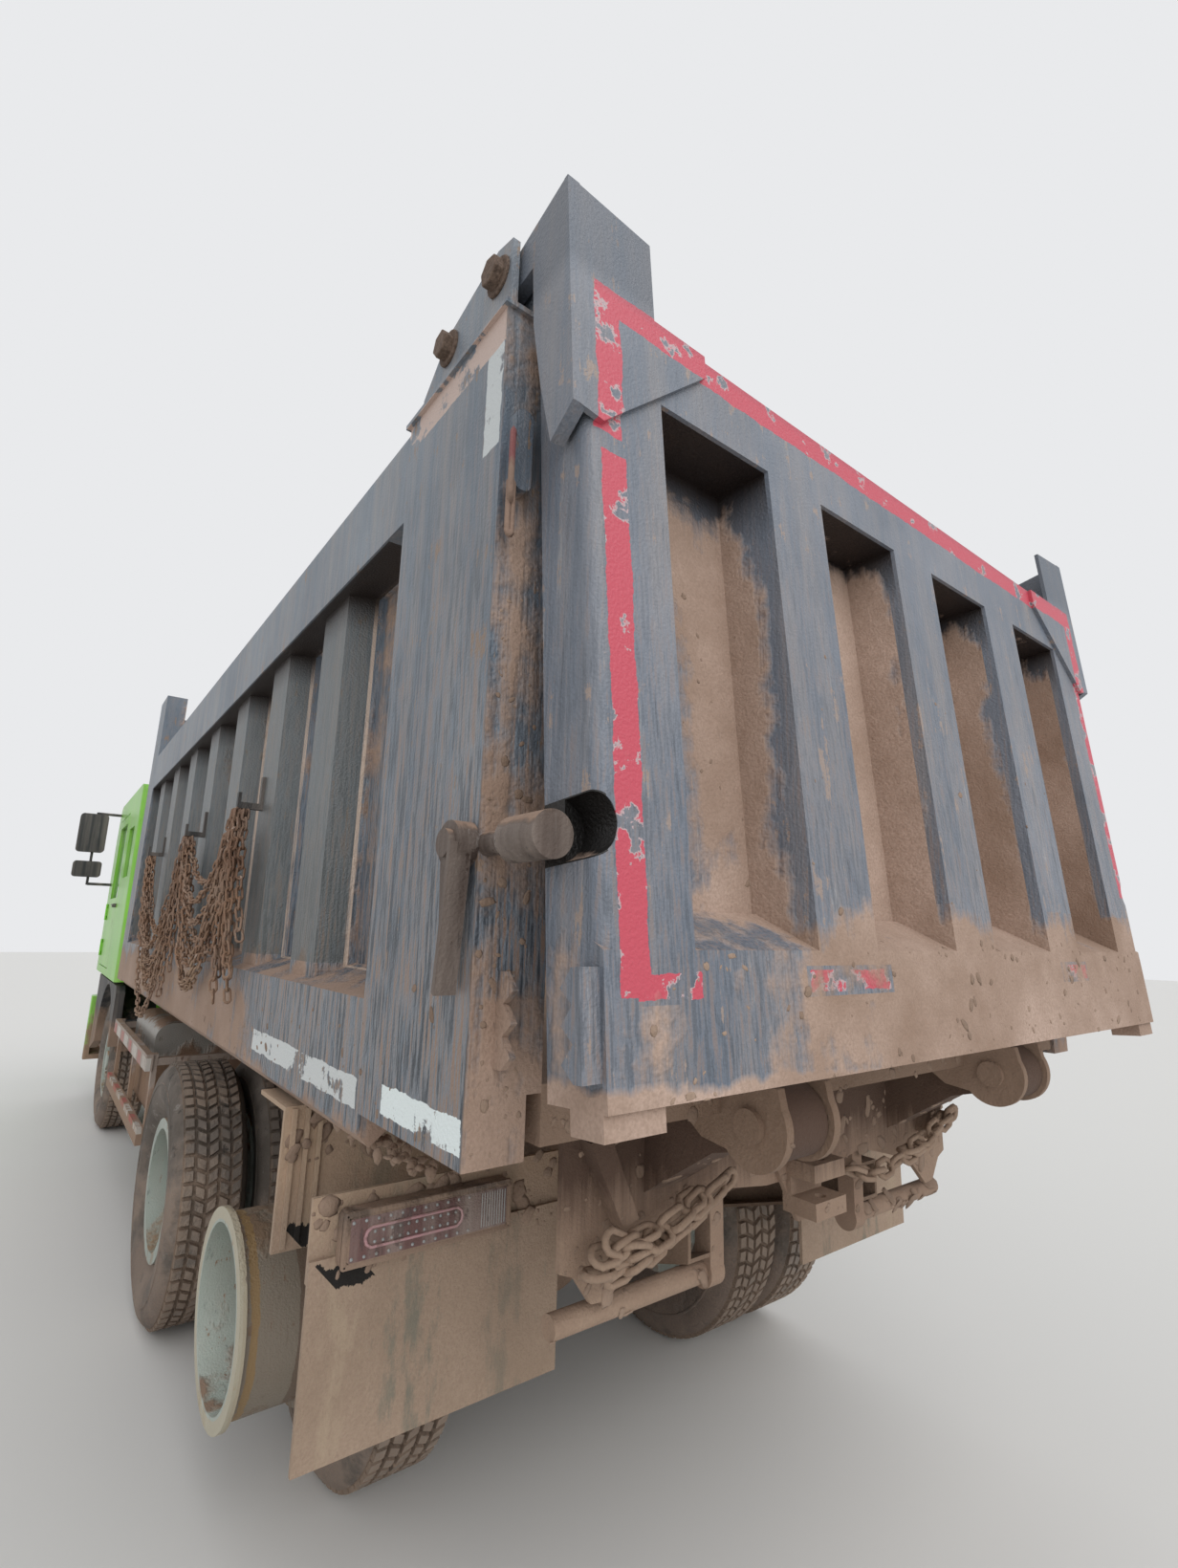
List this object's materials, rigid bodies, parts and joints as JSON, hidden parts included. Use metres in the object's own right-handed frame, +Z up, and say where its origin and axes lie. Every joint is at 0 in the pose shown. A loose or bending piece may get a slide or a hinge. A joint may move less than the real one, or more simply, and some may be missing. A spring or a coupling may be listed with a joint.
{
  "type": "dump truck",
  "caption": "Three-axle tipping lorry with a high ribbed steel body, top-hung tailgate, front telescopic hoist and a tilting cab over a ladder frame.",
  "frame": {"origin": "on the ground below the middle of the whole truck", "axes": "+X forward, +Y to the left, +Z up"},
  "size_m": [8.582, 3.19, 3.51],
  "materials": {
    "frame_paint": "matt chassis paint under dried mud",
    "cast": "rough casting under dried mud",
    "spring_steel": "rusty spring steel",
    "chain_steel": "rusty chain steel under dried mud",
    "black_metal": "worn black paint",
    "cab_paint": "gloss lime green paint",
    "black_plastic": "grained black plastic",
    "lamp_glass": "lamp lens",
    "tank_metal": "dull aluminium",
    "guard_paint": "muddy paint with red and white tape",
    "flap_rubber": "rubber under dried mud",
    "rim_paint": "chalky rim enamel",
    "tyre": "muddy tyre rubber",
    "body_paint": "scratched slate blue paint with mud",
    "chrome_rod": "chromed rod",
    "glass": "tinted glass",
    "seat_fabric": "woven seat cloth"
  },
  "bodies": {
    "chassis": {"frame": "frame_paint", "rear_cross_member": "frame_paint", "rear_axles": "cast", "rear_springs": "spring_steel", "front_axle": "cast", "front_springs": "spring_steel", "engine": "cast", "driveline": "spring_steel", "radiator": "black_metal", "cab_mounts": "frame_paint", "hoist_cradle": "frame_paint", "bumper": "cab_paint", "headlamps": "lamp_glass", "front_fenders": "black_plastic", "fuel_tank": "tank_metal", "battery_box": "black_metal", "exhaust": "black_metal", "side_guard_left": "guard_paint", "side_guard_right": "guard_paint", "mud_flaps": "flap_rubber", "rear_lamps": "lamp_glass", "tow_chain": "chain_steel"},
    "knuckle_left": {"knuckle_left": "cast"},
    "knuckle_right": {"knuckle_right": "cast"},
    "front_wheel_left": {"front_wheel_left": "rim_paint", "front_tyre_left": "tyre"},
    "front_wheel_right": {"front_wheel_right": "rim_paint", "front_tyre_right": "tyre"},
    "first_rear_left": {"first_rear_wheels_left": "rim_paint", "first_rear_tyres_left": "tyre"},
    "first_rear_right": {"first_rear_wheels_right": "rim_paint", "first_rear_tyres_right": "tyre"},
    "second_rear_left": {"second_rear_wheels_left": "rim_paint", "second_rear_tyres_left": "tyre"},
    "second_rear_right": {"second_rear_wheels_right": "rim_paint", "second_rear_tyres_right": "tyre"},
    "bed": {"bed_floor": "body_paint", "bed_side_left": "body_paint", "bed_side_right": "body_paint", "bed_front": "body_paint", "chain_hooks": "black_metal", "side_chains": "chain_steel", "lock_levers": "black_metal"},
    "tailgate": {"tailgate": "body_paint"},
    "hoist_tube": {"hoist_tube": "black_metal"},
    "hoist_stage_1": {"hoist_stage_1": "chrome_rod"},
    "hoist_stage_2": {"hoist_stage_2": "chrome_rod"},
    "hoist_stage_3": {"hoist_stage_3": "chrome_rod"},
    "cab": {"cab_shell": "cab_paint", "cab_glass": "glass", "visor": "black_plastic", "grille": "black_plastic", "seats": "seat_fabric", "dashboard": "black_plastic", "mirrors": "black_plastic"},
    "door_left": {"door_left": "cab_paint", "door_glass_left": "glass"},
    "door_right": {"door_right": "cab_paint", "door_glass_right": "glass"}
  },
  "joints": [
    {"name": "bed_tilt", "type": "hinge", "parent": "chassis", "child": "bed", "pos_m": [-4.079, 0, 1.38], "axis": [0, -1, 0], "range_deg": [0, 45]},
    {"name": "tailgate_swing", "type": "hinge", "parent": "bed", "child": "tailgate", "pos_m": [-3.951, 0, 3.156], "axis": [0, 1, 0], "range_deg": [-4.56, 75]},
    {"name": "hoist_pivot", "type": "hinge", "parent": "chassis", "child": "hoist_tube", "pos_m": [1.931, 0, 1], "axis": [0, -1, 0], "range_deg": [0, 23.45]},
    {"name": "hoist_slide_1", "type": "slide", "parent": "hoist_tube", "child": "hoist_stage_1", "axis": [-0.0899, 0, 0.996], "range_m": [0, 1.4683]},
    {"name": "hoist_slide_2", "type": "slide", "parent": "hoist_stage_1", "child": "hoist_stage_2", "axis": [-0.0899, 0, 0.996], "range_m": [0, 1.4683]},
    {"name": "hoist_slide_3", "type": "slide", "parent": "hoist_stage_2", "child": "hoist_stage_3", "axis": [-0.0899, 0, 0.996], "range_m": [0, 1.4683]},
    {"name": "cab_tilt", "type": "hinge", "parent": "chassis", "child": "cab", "pos_m": [4.001, 0, 1.13], "axis": [0, 1, 0], "range_deg": [0, 45]},
    {"name": "door_left_swing", "type": "hinge", "parent": "cab", "child": "door_left", "pos_m": [3.799, 1.252, 2], "axis": [0, 0, -1], "range_deg": [0, 70]},
    {"name": "door_right_swing", "type": "hinge", "parent": "cab", "child": "door_right", "pos_m": [3.799, -1.252, 2], "axis": [0, 0, 1], "range_deg": [0, 70]},
    {"name": "steer_left", "type": "hinge", "parent": "chassis", "child": "knuckle_left", "pos_m": [2.782, 0.83, 0.55], "axis": [0, 0, 1], "range_deg": [-35, 35]},
    {"name": "steer_right", "type": "hinge", "parent": "chassis", "child": "knuckle_right", "pos_m": [2.782, -0.83, 0.55], "axis": [0, 0, 1], "range_deg": [-35, 35]},
    {"name": "front_wheel_left_spin", "type": "hinge", "parent": "knuckle_left", "child": "front_wheel_left", "pos_m": [2.782, 1.02, 0.55], "axis": [0, 1, 0], "continuous": true},
    {"name": "front_wheel_right_spin", "type": "hinge", "parent": "knuckle_right", "child": "front_wheel_right", "pos_m": [2.782, -1.02, 0.55], "axis": [0, 1, 0], "continuous": true},
    {"name": "first_rear_left_spin", "type": "hinge", "parent": "chassis", "child": "first_rear_left", "pos_m": [-1.043, 0.92, 0.55], "axis": [0, 1, 0], "continuous": true},
    {"name": "first_rear_right_spin", "type": "hinge", "parent": "chassis", "child": "first_rear_right", "pos_m": [-1.043, -0.92, 0.55], "axis": [0, 1, 0], "continuous": true},
    {"name": "second_rear_left_spin", "type": "hinge", "parent": "chassis", "child": "second_rear_left", "pos_m": [-2.393, 0.92, 0.55], "axis": [0, 1, 0], "continuous": true},
    {"name": "second_rear_right_spin", "type": "hinge", "parent": "chassis", "child": "second_rear_right", "pos_m": [-2.393, -0.92, 0.55], "axis": [0, 1, 0], "continuous": true}
  ],
  "couplings": [
    {"joint": "hoist_pivot", "follows": "bed_tilt", "ratio": 0.51668},
    {"joint": "hoist_slide_1", "follows": "bed_tilt", "m_per_rad": 1.867},
    {"joint": "hoist_slide_2", "follows": "bed_tilt", "m_per_rad": 1.867},
    {"joint": "hoist_slide_3", "follows": "bed_tilt", "m_per_rad": 1.867},
    {"joint": "steer_right", "follows": "steer_left", "ratio": 1}
  ]
}
